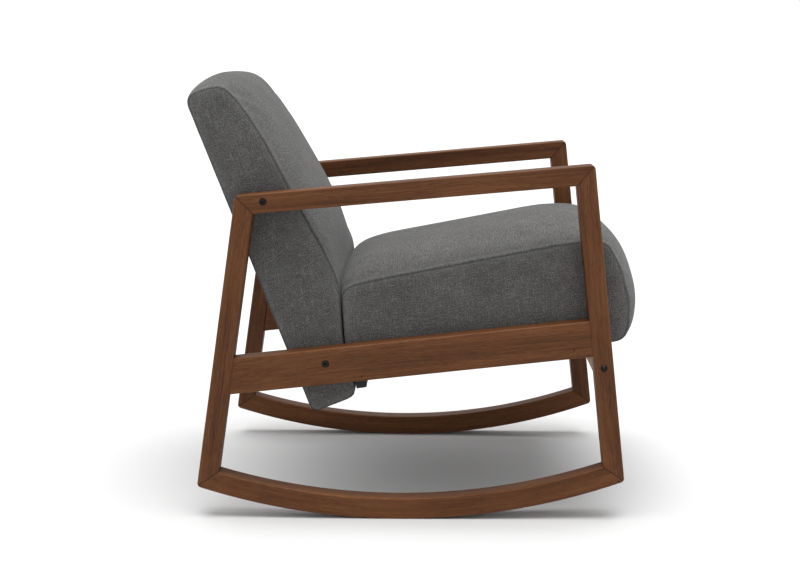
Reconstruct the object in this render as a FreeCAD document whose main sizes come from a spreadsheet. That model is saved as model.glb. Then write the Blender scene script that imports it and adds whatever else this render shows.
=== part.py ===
import FreeCAD, Part
import Sketcher
import math
import os

# Upholstered rocking chair: two closed timber side frames, each an arm, two legs and a
# curved rocker mitred at four corners with a seat rail let in between the legs, and a
# padded seat unit and a padded back unit bolted between them.
# +X is the front of the chair, +Y the sitter's left, +Z up.  The origin is on the floor,
# midway between the side frames, where the rockers touch it.

Vector = FreeCAD.Vector
Placement = FreeCAD.Placement
Rotation = FreeCAD.Rotation

os.makedirs("parts", exist_ok=True)
doc = FreeCAD.newDocument("RockingChair")
sheet = doc.addObject("Spreadsheet::Sheet", "Sizes")

# Driving dimensions, in millimetres and degrees.
SIZES = {
    # side frames
    "frame_width": 645.0,          # over both side frames
    "member_thickness": 38.0,      # arm, legs and rocker, across the chair
    "leg_width": 35.0,
    "arm_depth": 34.0,
    "rocker_depth": 38.0,
    "rocker_radius": 1160.0,       # of the rolling edge
    "rear_foot_x": -369.0,         # rear leg's outer edge, carried down to the floor
    "rear_rake": 8.3,
    "front_foot_x": 406.0,         # front leg's outer edge, carried down to the floor
    "front_rake": 6.3,
    "arm_height": 601.7,           # arm's upper edge above the origin
    "arm_slope": 5.0,
    "corner_round": 8.0,
    "edge_round": 3.0,
    # seat rails
    "rail_height": 321.8,          # rail's upper edge above the origin
    "rail_slope": 6.25,
    "rail_depth": 64.0,
    "rail_thickness": 36.0,
    # cross rail under the front of the seat
    "cross_rail_thickness": 26.0,
    "cross_rail_inset": 6.0,       # behind the front edge of the leg
    "cross_rail_drop": 19.0,       # below the axis of the leg bolt
    # dowels
    "dowel_radius": 4.0,
    "mitre_dowel_length": 28.0,
    "mitre_dowel_spacing": 16.0,
    "rail_dowel_length": 40.0,
    "rail_dowel_spacing": 32.0,
    # seat unit, in its own tilted frame: origin at the lower rear corner
    "seat_x": -80.2,
    "seat_z": 245.4,
    "seat_tilt": 8.6,
    "seat_length": 519.0,
    "seat_depth": 216.0,           # at the front of the top
    "seat_rear_depth": 198.0,
    "seat_rear_top": 5.0,          # upper rear corner, in front of the lower one
    "seat_rear_knee": 7.6,         # rear face behind the lower corner, at its knee
    "seat_knee_height": 68.0,
    "seat_toe": 474.0,             # flat length of the underside
    "seat_front_flat": 42.0,       # height at which the front becomes upright
    "seat_brow": 142.0,            # height at which the front starts to slope back
    "seat_brow_lean": 4.0,
    "seat_brow_back": 63.0,
    "seat_round": 24.0,
    "seat_heel": 16.0,             # bevel of the upper rear edge
    # back unit, in its own tilted frame: origin at the lower rear corner
    "back_x": -156.0,
    "back_z": 184.0,
    "back_tilt": 21.3,
    "back_length": 604.0,
    "back_top_thickness": 92.0,
    "back_belly_height": 268.0,
    "back_belly_thickness": 146.0,
    "back_waist_height": 208.0,
    "back_waist_thickness": 131.0,
    "back_knee_height": 98.0,
    "back_knee_thickness": 97.4,
    "back_foot_thickness": 86.0,
    "back_round": 20.0,
    "back_heel": 14.0,             # bevel of the upper rear edge
    # upholstery
    "fabric_gap": 0.5,             # between a cushion and the side frame
    "cover_thickness": 1.6,
    "cushion_edge_round": 14.0,
    "lining_thickness": 1.2,       # dust cover under the seat
    # inner frames
    "board_thickness": 20.0,
    "seat_board_height": 103.0,
    "seat_box_length": 444.0,
    "seat_box_inset": 2.0,         # from the cover at the rear
    "corner_block": 45.0,
    "corner_block_height": 50.0,
    "corner_block_lift": 4.0,      # above the dust cover
    "batten_start": 0.5,           # from the lower rear corner of the seat
    "batten_width": 18.0,
    "batten_depth": 17.5,
    "stile_thickness": 22.0,
    "stile_inset": 8.0,            # behind the cover, at the rear
    "stile_depth": 67.0,
    "stile_foot": 6.0,
    "stile_shoulder": 420.0,
    "stile_top_depth": 42.0,
    "stile_length": 566.0,
    "back_rail_thickness": 20.0,
    "back_rail_height": 50.0,
    "back_middle_rail": 300.0,     # lower edge of the middle rail
    "backing_thickness": 3.0,
    # zigzag springs
    "wire_radius": 1.75,
    "spring_pitch": 24.0,
    "spring_width": 44.0,
    "seat_spring_count": 5,
    "seat_spring_spacing": 100.0,
    "back_spring_count": 4,
    "back_spring_spacing": 120.0,
    "clip_thickness": 2.0,
    "clip_length": 18.0,
    "clip_height": 16.0,           # of the clips on the back's rails
    "spring_end_inset": 6.0,       # end rung behind the outer face of the seat's board
    "foam_clearance": 1.0,
    # bolts and screws
    "arm_bolt_x": -236.0,
    "arm_bolt_lift": 2.5,          # above the middle of the arm
    "rail_bolt_x": -130.0,
    "rail_bolt_lift": 5.5,         # above the middle of the rail
    "leg_bolt_z": 275.0,
    "shank_radius": 4.0,
    "shank_clearance": 0.3,
    "head_radius": 5.8,
    "head_height": 6.0,
    "counterbore_radius": 6.6,
    "counterbore_depth": 9.0,
    "washer_radius": 6.4,
    "washer_thickness": 1.5,
    "socket_radius": 3.4,
    "socket_depth": 4.0,
    "button_height": 4.0,
    "button_socket_depth": 2.4,
    "insert_radius": 6.0,
    "insert_length": 18.0,
    "insert_bore_relief": 4.0,     # bore deeper than the insert in the cross rail
    "bolt_engagement": 16.0,
    "cover_hole_clearance": 1.0,
    "screw_radius": 2.4,
    "screw_length": 44.0,
    "screw_head_radius": 4.8,
    "screw_head_height": 2.6,
    "screw_height": 30.0,          # above the underside of the seat
    "screw_rear": 115.0,           # from the rear face of the seat
    "screw_front": 372.0,
    "batten_screw_at": 11.0,       # from the lower rear corner of the seat
    "batten_screw_spacing": 180.0,
    "batten_screw_length": 36.0,
    "batten_screw_radius": 2.0,
    "batten_screw_head": 3.8,
    "batten_head_height": 2.4,
}


class Sheet:
    """Rows of the size sheet: each name is the alias of its cell."""

    def __init__(self):
        self.row = 0

    def put(self, name, value):
        self.row += 1
        sheet.set("A%d" % self.row, name)
        sheet.set("B%d" % self.row, repr(float(value)))
        sheet.setAlias("B%d" % self.row, name)


cells = Sheet()
for size_name, size_value in SIZES.items():
    cells.put(size_name, size_value)
doc.recompute()


def size(name):
    """The number in the cell of that name."""
    return float(sheet.get(name))


def derived(name, value):
    """A size that follows from the driving ones, with a cell of its own."""
    cells.put(name, value)
    return value


# ---------------------------------------------------------------- plane geometry

def add(p, q, scale=1.0):
    return (p[0] + q[0] * scale, p[1] + q[1] * scale)


def unit(p, q):
    length = math.hypot(q[0] - p[0], q[1] - p[1])
    return ((q[0] - p[0]) / length, (q[1] - p[1]) / length)


def meet(p, d, q, e):
    """Where the line through p along d meets the line through q along e."""
    cross = d[0] * e[1] - d[1] * e[0]
    along = ((q[0] - p[0]) * e[1] - (q[1] - p[1]) * e[0]) / cross
    return add(p, d, along)


def meet_circle(p, d, centre, radius, near):
    """Where the line through p along the unit d meets the circle, the end nearer to near."""
    rel = (p[0] - centre[0], p[1] - centre[1])
    half = rel[0] * d[0] + rel[1] * d[1]
    root = math.sqrt(half * half - (rel[0] ** 2 + rel[1] ** 2 - radius * radius))
    ends = [add(p, d, -half - root), add(p, d, -half + root)]
    return min(ends, key=lambda c: math.dist(c, near))


class Edge:
    """One side of an outline: a line, or an arc about centre with a radius cell."""

    def __init__(self, start, end, free=True, centre=None, radius=None):
        self.start = start
        self.end = end
        self.free = free
        self.centre = centre
        self.radius = radius

    def turns_left(self):
        a = (self.start[0] - self.centre[0], self.start[1] - self.centre[1])
        b = (self.end[0] - self.centre[0], self.end[1] - self.centre[1])
        return a[0] * b[1] - a[1] * b[0] > 0

    def middle(self):
        chord = ((self.start[0] + self.end[0]) / 2, (self.start[1] + self.end[1]) / 2)
        if self.centre is None:
            return chord
        return add(self.centre, unit(self.centre, chord), math.dist(self.centre, self.start))


def polygon(points, fixed=()):
    """Straight-sided outline; sides whose numbers are in fixed keep sharp edges."""
    count = len(points)
    return [Edge(points[i], points[(i + 1) % count], i not in fixed) for i in range(count)]


def rounded(points, radii, fixed=()):
    """Outline through the points; radii names each corner's radius cell, or None if sharp."""
    count = len(points)
    starts = []
    ends = []
    centres = []
    for i in range(count):
        before = unit(points[i], points[i - 1])
        after = unit(points[i], points[(i + 1) % count])
        if radii[i] is None:
            starts.append(points[i])
            ends.append(points[i])
            centres.append(None)
            continue
        radius = size(radii[i])
        half = math.acos(before[0] * after[0] + before[1] * after[1]) / 2
        reach = radius / math.tan(half)
        starts.append(add(points[i], before, reach))
        ends.append(add(points[i], after, reach))
        middle = unit((0, 0), add(before, after))
        centres.append(add(points[i], middle, radius / math.sin(half)))
    edges = []
    for i in range(count):
        if centres[i] is not None:
            edges.append(Edge(starts[i], ends[i], True, centres[i], radii[i]))
        edges.append(Edge(ends[i], starts[(i + 1) % count], i not in fixed))
    return edges


def inset(points, distance):
    """The same outline, run counter-clockwise, moved inwards by distance."""
    count = len(points)
    lines = []
    for i in range(count):
        d = unit(points[i], points[(i + 1) % count])
        lines.append((add(points[i], (-d[1], d[0]), distance), d))
    return [meet(*lines[i - 1], *lines[i]) for i in range(count)]


# ---------------------------------------------------------------- document objects

def origin_plane(body, role):
    return [f for f in body.Origin.OriginFeatures if f.Role == role][0]


def outline_cells(name, edges):
    """Cells for the corners of an outline, shared by every piece that has it."""
    if name + "_1_x" in outline_cells.known:
        return
    for i, edge in enumerate(edges, 1):
        derived("%s_%d_x" % (name, i), edge.start[0])
        derived("%s_%d_z" % (name, i), edge.start[1])
    outline_cells.known.add(name + "_1_x")
    doc.recompute()


outline_cells.known = set()


def draw(sketch, name, edges):
    """Draw the outline in the sketch and tie it to its cells."""
    ends = []
    for edge in edges:
        start = Vector(edge.start[0], edge.start[1], 0)
        end = Vector(edge.end[0], edge.end[1], 0)
        if edge.centre is None:
            number = sketch.addGeometry(Part.LineSegment(start, end))
            ends.append((number, 1, 2))
            continue
        centre = Vector(edge.centre[0], edge.centre[1], 0)
        circle = Part.Circle(centre, Vector(0, 0, 1), (start - centre).Length)
        first, last = (start, end) if edge.turns_left() else (end, start)
        angles = [math.atan2(p.y - centre.y, p.x - centre.x) for p in (first, last)]
        number = sketch.addGeometry(Part.ArcOfCircle(circle, *angles))
        ends.append((number, 1, 2) if edge.turns_left() else (number, 2, 1))
    count = len(edges)
    for i, (number, _, tail) in enumerate(ends):
        follower, head, _ = ends[(i + 1) % count]
        sketch.addConstraint(Sketcher.Constraint("Coincident", number, tail, follower, head))
    for i, edge in enumerate(edges):
        number, head, _ = ends[i]
        for kind, letter, value in (("DistanceX", "x", edge.start[0]),
                                    ("DistanceY", "z", edge.start[1])):
            rule = Sketcher.Constraint(kind, -1, 1, number, head, value)
            place = sketch.addConstraint(rule)
            cell = "Sizes.%s_%d_%s" % (name, i + 1, letter)
            sketch.setExpression("Constraints[%d]" % place, cell)
        if edge.centre is not None:
            rule = Sketcher.Constraint("Radius", number, math.dist(edge.centre, edge.start))
            place = sketch.addConstraint(rule)
            sketch.setExpression("Constraints[%d]" % place, "Sizes." + edge.radius)


def prism(label, name, edges, width, middle="0", placement=None, edge_round=None):
    """A body whose side view is the outline, width wide about the plane y = middle."""
    outline_cells(name, edges)
    body = doc.addObject("PartDesign::Body", label + "_body")
    body.Label = label
    sketch = body.newObject("Sketcher::SketchObject", label + "_outline")
    sketch.AttachmentSupport = [(origin_plane(body, "XZ_Plane"), "")]
    sketch.MapMode = "FlatFace"
    draw(sketch, name, edges)
    sketch.setExpression("AttachmentOffset.Base.z", "-(%s)" % middle)
    pad = body.newObject("PartDesign::Pad", label + "_pad")
    pad.Profile = sketch
    pad.SideType = "Symmetric"
    pad.setExpression("Length", width)
    doc.recompute()
    if edge_round:
        round_edges(body, pad, label, edges, edge_round)
    if placement:
        body.Placement = placement
    return body


def round_edges(body, pad, label, edges, radius):
    """Round the long edges that follow the free sides of the outline."""
    box = pad.Shape.BoundBox
    chosen = []
    for number, edge in enumerate(pad.Shape.Edges, 1):
        mid = edge.valueAt((edge.FirstParameter + edge.LastParameter) / 2)
        if min(abs(mid.y - box.YMin), abs(mid.y - box.YMax)) > 0.01:
            continue
        if any(side.free and math.dist(side.middle(), (mid.x, mid.z)) < 0.05 for side in edges):
            chosen.append("Edge%d" % number)
    fillet = body.newObject("PartDesign::Fillet", label + "_rounding")
    fillet.Base = (pad, chosen)
    fillet.setExpression("Radius", radius)
    doc.recompute()


def cylinder(name, radius, length, base, axis):
    rod = doc.addObject("Part::Cylinder", name)
    rod.setExpression("Radius", radius)
    rod.setExpression("Height", length)
    rod.Placement = Placement(base, Rotation(Vector(0, 0, 1), axis))
    return rod


def block(name, length, width, height, corner, placement=None):
    """A box with its lowest corner at corner, in the frame of placement."""
    box = doc.addObject("Part::Box", name)
    box.setExpression("Length", length)
    box.setExpression("Width", width)
    box.setExpression("Height", height)
    local = Placement(corner, Rotation())
    box.Placement = placement.multiply(local) if placement else local
    return box


def compound(label, members):
    group = doc.addObject("Part::Compound", label + "_group")
    group.Links = members
    group.Label = label
    return group


def joined(name, members):
    whole = doc.addObject("Part::MultiFuse", name)
    whole.Shapes = members
    return whole


def cut(label, base, tools):
    base.Label = base.Name
    result = doc.addObject("Part::Cut", label + "_cut")
    result.Base = base
    result.Tool = tools[0] if len(tools) == 1 else compound(label + "_tools", tools)
    result.Label = label
    return result


REACH = 5.0        # how far a boring tool passes the faces that it opens
nodes = []


def keep(piece):
    nodes.append(piece)
    return piece


SIDES = (("right", -1), ("left", 1))

# ---------------------------------------------------------------- side frames

half_width = derived("half_width", size("frame_width") / 2)
frame_middle = derived("frame_middle", half_width - size("member_thickness") / 2)
frame_inner = derived("frame_inner", half_width - size("member_thickness"))
rail_middle = derived("rail_middle", frame_inner + size("rail_thickness") / 2)
radius = size("rocker_radius")
top_radius = derived("rocker_top_radius", radius - size("rocker_depth"))
doc.recompute()

rear_rake = math.radians(size("rear_rake"))
front_rake = math.radians(size("front_rake"))
arm_slope = math.radians(size("arm_slope"))
rail_slope = math.radians(size("rail_slope"))

rear_up = (math.sin(rear_rake), math.cos(rear_rake))
rear_in = (math.cos(rear_rake), -math.sin(rear_rake))
front_up = (-math.sin(front_rake), math.cos(front_rake))
front_in = (-math.cos(front_rake), -math.sin(front_rake))
arm_along = (math.cos(arm_slope), math.sin(arm_slope))
arm_in = (math.sin(arm_slope), -math.cos(arm_slope))
rail_along = (math.cos(rail_slope), math.sin(rail_slope))
rail_down = (math.sin(rail_slope), -math.cos(rail_slope))

rear_foot = (size("rear_foot_x"), 0.0)
front_foot = (size("front_foot_x"), 0.0)
arm_top = (0.0, size("arm_height"))
rail_top = (0.0, size("rail_height"))
rolling_centre = (0.0, radius)


class Corner:
    """A mitred corner of the side frame, with its rounded outer edge."""

    def __init__(self, outer, inner, centre, on_leg, on_other):
        self.outer = outer
        self.inner = inner
        self.centre = centre
        self.on_leg = on_leg
        self.on_other = on_other
        direction = unit(inner, outer)
        self.tip = meet_circle(inner, direction, centre, size("corner_round"), outer)

    def middle(self):
        return ((self.outer[0] + self.inner[0]) / 2, (self.outer[1] + self.inner[1]) / 2)


def arm_corner(foot, up, inward):
    """Where a leg meets the arm."""
    rounding = size("corner_round")
    outer = meet(foot, up, arm_top, arm_along)
    leg_line = add(foot, inward, size("leg_width"))
    arm_line = add(arm_top, arm_in, size("arm_depth"))
    inner = meet(leg_line, up, arm_line, arm_along)
    centre = meet(add(foot, inward, rounding), up, add(arm_top, arm_in, rounding), arm_along)
    return Corner(outer, inner, centre, add(centre, inward, -rounding),
                  add(centre, arm_in, -rounding))


def rocker_corner(foot, up, inward):
    """Where a leg meets the rocker."""
    rounding = size("corner_round")
    outer = meet_circle(foot, up, rolling_centre, radius, foot)
    leg_line = add(foot, inward, size("leg_width"))
    inner = meet_circle(leg_line, up, rolling_centre, top_radius, foot)
    centre = meet_circle(add(foot, inward, rounding), up, rolling_centre, radius - rounding, foot)
    on_rocker = add(rolling_centre, unit(rolling_centre, centre), radius)
    return Corner(outer, inner, centre, add(centre, inward, -rounding), on_rocker)


rear_top = arm_corner(rear_foot, rear_up, rear_in)
front_top = arm_corner(front_foot, front_up, front_in)
rear_bottom = rocker_corner(rear_foot, rear_up, rear_in)
front_bottom = rocker_corner(front_foot, front_up, front_in)


def corner_arc(corner, start, end):
    return Edge(start, end, True, corner.centre, "corner_round")


def leg_outline(top, bottom):
    return [
        Edge(bottom.on_leg, top.on_leg),
        corner_arc(top, top.on_leg, top.tip),
        Edge(top.tip, top.inner, False),
        Edge(top.inner, bottom.inner),
        Edge(bottom.inner, bottom.tip, False),
        corner_arc(bottom, bottom.tip, bottom.on_leg),
    ]


ARM = [
    Edge(rear_top.on_other, front_top.on_other),
    corner_arc(front_top, front_top.on_other, front_top.tip),
    Edge(front_top.tip, front_top.inner, False),
    Edge(front_top.inner, rear_top.inner),
    Edge(rear_top.inner, rear_top.tip, False),
    corner_arc(rear_top, rear_top.tip, rear_top.on_other),
]
ROCKER = [
    Edge(rear_bottom.on_other, front_bottom.on_other, True, rolling_centre, "rocker_radius"),
    corner_arc(front_bottom, front_bottom.on_other, front_bottom.tip),
    Edge(front_bottom.tip, front_bottom.inner, False),
    Edge(front_bottom.inner, rear_bottom.inner, True, rolling_centre, "rocker_top_radius"),
    Edge(rear_bottom.inner, rear_bottom.tip, False),
    corner_arc(rear_bottom, rear_bottom.tip, rear_bottom.on_other),
]

rear_inner = add(rear_foot, rear_in, size("leg_width"))
front_inner = add(front_foot, front_in, size("leg_width"))
rail_bottom = add(rail_top, rail_down, size("rail_depth"))
RAIL = polygon([
    meet(rail_bottom, rail_along, rear_inner, rear_up),
    meet(rail_bottom, rail_along, front_inner, front_up),
    meet(rail_top, rail_along, front_inner, front_up),
    meet(rail_top, rail_along, rear_inner, rear_up),
], fixed=(1, 3))

# ---------------------------------------------------------------- bolts, dowels and screws

arm_middle_line = add(arm_top, arm_in, size("arm_depth") / 2)
rail_middle_line = add(rail_top, rail_down, size("rail_depth") / 2)
upright = (0.0, 1.0)
level = (1.0, 0.0)
arm_bolt = add(meet(arm_middle_line, arm_along, (size("arm_bolt_x"), 0.0), upright),
               upright, size("arm_bolt_lift"))
rail_bolt = add(meet(rail_middle_line, rail_along, (size("rail_bolt_x"), 0.0), upright),
                upright, size("rail_bolt_lift"))
leg_middle_line = add(front_foot, front_in, size("leg_width") / 2)
leg_bolt = meet(leg_middle_line, front_up, (0.0, size("leg_bolt_z")), level)

cushion_half = derived("cushion_half", frame_inner - size("fabric_gap"))
lined_half = derived("lined_half", cushion_half - size("cover_thickness"))
stile_middle = derived("stile_middle", lined_half - size("stile_thickness") / 2)
shank_bore = derived("shank_bore", size("shank_radius") + size("shank_clearance"))
derived("cover_bore", size("insert_radius") + size("cover_hole_clearance"))
derived("foam_bore", size("insert_radius") + size("foam_clearance"))
derived("rail_face", frame_inner + size("rail_thickness"))
doc.recompute()


def across(name, radius_cell, near, far, point, side):
    """A cylinder across the chair from y = near to y = far on that side, at point (x, z)."""
    base = Vector(point[0], side * near, point[1])
    return cylinder(name, radius_cell, "abs(%r)" % (far - near), base, Vector(0, side, 0))


def bolt_holes(tag, point, outer_face, side):
    """Clearance hole right through a member, with a counterbore in its outer face."""
    floor = outer_face - size("counterbore_depth")
    return [
        across("hole_%s" % tag, "Sizes.shank_bore", frame_inner - REACH,
               outer_face + REACH, point, side),
        across("sink_%s" % tag, "Sizes.counterbore_radius", floor, outer_face + REACH,
               point, side),
    ]


def dowel_spots(point, direction, sideways, spacing, length):
    """Starts of the dowels of one joint: pairs set out along sideways about its middle."""
    along = Vector(direction[0], 0, direction[1])
    middle = Vector(point[0], 0, point[1])
    return [(middle + sideways * (spacing * s / 2) - along * (length / 2), along)
            for s in (-1, 1)]


def perpendicular(p, q):
    d = unit(p, q)
    return (-d[1], d[0])


MITRE_SPOTS = []
for corner in (rear_top, front_top, rear_bottom, front_bottom):
    MITRE_SPOTS.append(dowel_spots(corner.middle(), perpendicular(corner.inner, corner.outer),
                                   Vector(0, 1, 0), size("mitre_dowel_spacing"),
                                   size("mitre_dowel_length")))
rear_joint = meet(rail_middle_line, rail_along, rear_inner, rear_up)
front_joint = meet(rail_middle_line, rail_along, front_inner, front_up)
RAIL_SPOTS = []
for joint, up in ((rear_joint, rear_up), (front_joint, front_up)):
    RAIL_SPOTS.append(dowel_spots(joint, rail_along, Vector(up[0], 0, up[1]),
                                  size("rail_dowel_spacing"), size("rail_dowel_length")))


def dowels(tag, spots, length_cell, middle, side):
    shift = Vector(0, side * middle, 0)
    return [cylinder("%s_%d" % (tag, i), "Sizes.dowel_radius", length_cell, base + shift, axis)
            for i, (base, axis) in enumerate(spots)]


def tilted(x, z, angle):
    """Frame of a unit whose own X axis rises forwards by angle, in degrees."""
    return Placement(Vector(x, 0, z), Rotation(Vector(0, 1, 0), -angle))


SEAT = tilted(size("seat_x"), size("seat_z"), size("seat_tilt"))
BACK = tilted(size("back_x"), size("back_z"), size("back_tilt"))


def spread(count, spacing):
    return [(i - (count - 1) / 2) * spacing for i in range(int(count))]


def screws(tag, side):
    """Screws from inside the seat's side board, through the cover, into the seat rail."""
    inside = lined_half - size("board_thickness")
    rods = []
    for i, along in enumerate((size("screw_rear"), size("screw_front"))):
        base = SEAT.multVec(Vector(along, side * inside, size("screw_height")))
        rods.append(cylinder("%s_%d" % (tag, i), "Sizes.screw_radius", "Sizes.screw_length",
                             base, Vector(0, side, 0)))
    return rods


MITRE_LENGTH = "Sizes.mitre_dowel_length"
RAIL_LENGTH = "Sizes.rail_dowel_length"
rail_face = frame_inner + size("rail_thickness")

for word, side in SIDES:
    middle = "%d * Sizes.frame_middle" % side
    rail_mid = "%d * Sizes.rail_middle" % side
    thickness = "Sizes.member_thickness"
    rounding = "Sizes.edge_round"
    rt, ft, rb, fb = MITRE_SPOTS
    rj, fj = RAIL_SPOTS

    def mitre(tag, spots):
        return dowels("%s_%s" % (tag, word), spots, MITRE_LENGTH, frame_middle, side)

    def butt(tag, spots):
        return dowels("%s_%s" % (tag, word), spots, RAIL_LENGTH, rail_middle, side)

    arm = prism("arm_rest_" + word, "arm", ARM, thickness, middle, None, rounding)
    tools = mitre("arm_rear_bore", rt) + mitre("arm_front_bore", ft)
    tools += bolt_holes("arm_" + word, arm_bolt, half_width, side)
    keep(cut("arm_rest_" + word, arm, tools))

    rear = prism("rear_leg_" + word, "rear_leg", leg_outline(rear_top, rear_bottom),
                 thickness, middle, None, rounding)
    tools = mitre("rear_top_bore", rt) + mitre("rear_foot_bore", rb) + butt("rear_rail_bore", rj)
    keep(cut("rear_leg_" + word, rear, tools))

    front = prism("front_leg_" + word, "front_leg", leg_outline(front_top, front_bottom),
                  thickness, middle, None, rounding)
    tools = mitre("front_top_bore", ft) + mitre("front_foot_bore", fb)
    tools += butt("front_rail_bore", fj)
    tools.append(across("leg_hole_" + word, "Sizes.shank_bore", frame_inner - REACH,
                        half_width + REACH, leg_bolt, side))
    keep(cut("front_leg_" + word, front, tools))

    rocker = prism("rocker_" + word, "rocker", ROCKER, thickness, middle, None, rounding)
    tools = mitre("rocker_rear_bore", rb) + mitre("rocker_front_bore", fb)
    keep(cut("rocker_" + word, rocker, tools))

    rail = prism("seat_rail_" + word, "rail", RAIL, "Sizes.rail_thickness", rail_mid,
                 None, rounding)
    tools = butt("rail_rear_bore", rj) + butt("rail_front_bore", fj)
    tools += bolt_holes("rail_" + word, rail_bolt, rail_face, side)
    tools += screws("rail_screw_bore_" + word, side)
    keep(cut("seat_rail_" + word, rail, tools))

mitre_rods = []
rail_rods = []
for word, side in SIDES:
    for i, spots in enumerate(MITRE_SPOTS):
        mitre_rods += dowels("mitre_dowel_%s_%d" % (word, i), spots, MITRE_LENGTH,
                             frame_middle, side)
    for i, spots in enumerate(RAIL_SPOTS):
        rail_rods += dowels("rail_dowel_%s_%d" % (word, i), spots, RAIL_LENGTH,
                            rail_middle, side)
keep(compound("mitre_dowels", mitre_rods))
keep(compound("rail_dowels", rail_rods))

# ---------------------------------------------------------------- front cross rail

near_line = add(front_foot, front_in, size("cross_rail_inset"))
far_line = add(near_line, front_in, size("cross_rail_thickness"))
low_point = add(leg_bolt, front_up, -size("cross_rail_drop"))
underside = (size("seat_x"), size("seat_z"))
seat_slope = math.radians(size("seat_tilt"))
under_along = (math.cos(seat_slope), math.sin(seat_slope))
CROSS_RAIL = polygon([
    meet(low_point, front_in, far_line, front_up),
    meet(low_point, front_in, near_line, front_up),
    meet(underside, under_along, near_line, front_up),
    meet(underside, under_along, far_line, front_up),
])
cross_rail = prism("front_cross_rail", "cross_rail", CROSS_RAIL, "2 * Sizes.frame_inner")
insert_end = frame_inner - size("insert_length")
tools = [across("cross_rail_bore_" + word, "Sizes.insert_radius",
                insert_end - size("insert_bore_relief"), frame_inner + REACH, leg_bolt, side)
         for word, side in SIDES]
keep(cut("front_cross_rail", cross_rail, tools))

# ---------------------------------------------------------------- seat unit

rear_knee = (-size("seat_rear_knee"), size("seat_knee_height"))
rear_corner = (size("seat_rear_top"), size("seat_rear_depth"))
brow_corner = (size("seat_length") - size("seat_brow_back"), size("seat_depth"))
SEAT_POINTS = [
    (0.0, 0.0),
    (size("seat_toe"), 0.0),
    (size("seat_length"), size("seat_front_flat")),
    (size("seat_length") - size("seat_brow_lean"), size("seat_brow")),
    brow_corner,
    add(rear_corner, unit(rear_corner, brow_corner), size("seat_heel")),
    add(rear_corner, unit(rear_corner, rear_knee), size("seat_heel")),
    rear_knee,
]
SEAT_ROUNDS = (None, None, "seat_round", "seat_round", "seat_round", None, None, None)
SEAT_INNER_ROUNDS = (None, None, "lined_round", "lined_round", "lined_round", None, None, None)
SEAT_SHARP = (0, 6, 7)
cover = size("cover_thickness")
lined_width = "2 * Sizes.lined_half"
cushion_width = "2 * Sizes.cushion_half"
derived("lined_round", size("seat_round") - cover)
derived("lined_back_round", size("back_round") - cover)
derived("lined_edge_round", size("cushion_edge_round") - cover)
doc.recompute()


def seat_inside(name):
    """The space inside the seat's cover."""
    edges = rounded(inset(SEAT_POINTS, cover), SEAT_INNER_ROUNDS, SEAT_SHARP)
    return prism(name, "seat_inside", edges, lined_width, "0", SEAT, "Sizes.lined_edge_round")


box_start = size("seat_box_inset") + cover
box_end = box_start + size("seat_box_length")
box_base = size("lining_thickness")
box_top = box_base + size("seat_board_height")
board = size("board_thickness")
wire = size("wire_radius")
spring_level = box_top + size("clip_thickness") + wire
foam_base = derived("seat_foam_base", spring_level + wire + size("foam_clearance"))
derived("seat_box_end", box_end)
derived("seat_box_inner", size("seat_box_length") - 2 * board)
derived("seat_box_span", 2 * (lined_half - board))
doc.recompute()

seat_skin = prism("seat_skin", "seat_skin", rounded(SEAT_POINTS, SEAT_ROUNDS, SEAT_SHARP),
                  cushion_width, "0", SEAT, "Sizes.cushion_edge_round")
opening = block("seat_opening", "Sizes.seat_box_length", lined_width, "20",
                Vector(box_start, -lined_half, -10), SEAT)
tools = [seat_inside("seat_cavity"), opening]
for word, side in SIDES:
    tools += screws("cover_screw_bore_" + word, side)
keep(cut("seat_cover", seat_skin, tools))

clear = block("seat_foam_clear", "Sizes.seat_box_end + Sizes.foam_clearance + 20",
              cushion_width, "Sizes.seat_foam_base + 20",
              Vector(-20, -cushion_half, -20), SEAT)
keep(cut("seat_foam", seat_inside("seat_stuffing"), [clear]))

for word, side in SIDES:
    y = lined_half - board if side > 0 else -lined_half
    side_board = block("seat_side_board_%s_plain" % word, "Sizes.seat_box_length",
                       "Sizes.board_thickness", "Sizes.seat_board_height",
                       Vector(box_start, y, box_base), SEAT)
    keep(cut("seat_side_board_" + word, side_board, screws("board_screw_bore_" + word, side)))


def batten_screws(tag, radius, height):
    """Cylinders up through the batten under the seat and into the seat's rear board."""
    return [cylinder("%s_%d" % (tag, i), radius, height,
                     SEAT.multVec(Vector(size("batten_screw_at"), y, -size("batten_depth"))),
                     SEAT.Rotation.multVec(Vector(0, 0, 1)))
            for i, y in enumerate(spread(3, size("batten_screw_spacing")))]


SCREW_LENGTH = "Sizes.batten_screw_length"
for label, start in (("seat_rear_board", box_start), ("seat_front_board", box_end - board)):
    cross_board = block(label + "_plain", "Sizes.board_thickness", "Sizes.seat_box_span",
                        "Sizes.seat_board_height", Vector(start, board - lined_half, box_base),
                        SEAT)
    if label == "seat_rear_board":
        tools = batten_screws("rear_board_bore", "Sizes.batten_screw_radius", SCREW_LENGTH)
        keep(cut(label, cross_board, tools))
    else:
        cross_board.Label = label
        keep(cross_board)

batten = block("seat_rear_batten_plain", "Sizes.batten_width", lined_width,
               "Sizes.batten_depth",
               Vector(size("batten_start"), -lined_half, -size("batten_depth")), SEAT)
tools = batten_screws("batten_bore", "Sizes.batten_screw_radius", SCREW_LENGTH)
tools += batten_screws("batten_sink", "Sizes.batten_screw_head", "Sizes.batten_head_height")
keep(cut("seat_rear_batten", batten, tools))

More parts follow.
